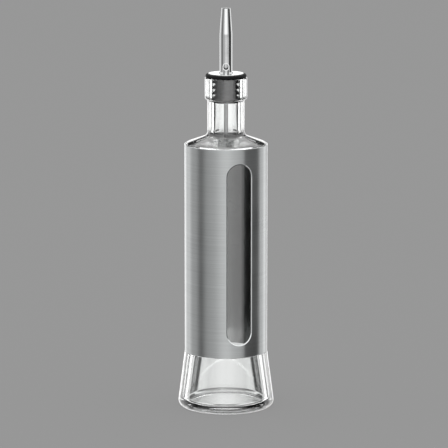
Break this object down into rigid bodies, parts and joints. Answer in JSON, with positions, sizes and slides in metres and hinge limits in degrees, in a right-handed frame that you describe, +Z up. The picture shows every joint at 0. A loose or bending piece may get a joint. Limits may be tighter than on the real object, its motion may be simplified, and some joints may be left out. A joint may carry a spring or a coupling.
{
  "type": "oil and vinegar bottle",
  "caption": "Clear glass oil bottle with a flared foot, a brushed steel sleeve with a long viewing window, and a lift-out rubber pourer with a chromed spout and air vent.",
  "frame": {"origin": "centre of the glass base, on the surface that the bottle stands on", "axes": "+Z up along the bottle's axis, -Y to the front, where the air vent opens"},
  "size_m": [0.0724, 0.0724, 0.304],
  "materials": {
    "clear_glass": "clear, polished",
    "sleeve_steel": "brushed round the tube",
    "pourer_chrome": "polished",
    "stopper_rubber": "matt moulded"
  },
  "bodies": {
    "bottle": {"glass_bottle": "clear_glass"},
    "sleeve": {"steel_sleeve": "sleeve_steel"},
    "pourer": {"rubber_stopper": "stopper_rubber", "cover_disc": "pourer_chrome", "spout_tube": "pourer_chrome", "vent_tube": "pourer_chrome"}
  },
  "joints": [
    {"name": "pourer_lift", "type": "slide", "parent": "bottle", "child": "pourer", "axis": [0, 0, 1], "range_m": [0, 0.06]},
    {"name": "sleeve_lift", "type": "slide", "parent": "bottle", "child": "sleeve", "axis": [0, 0, 1], "range_m": [0, 0.27]}
  ]
}
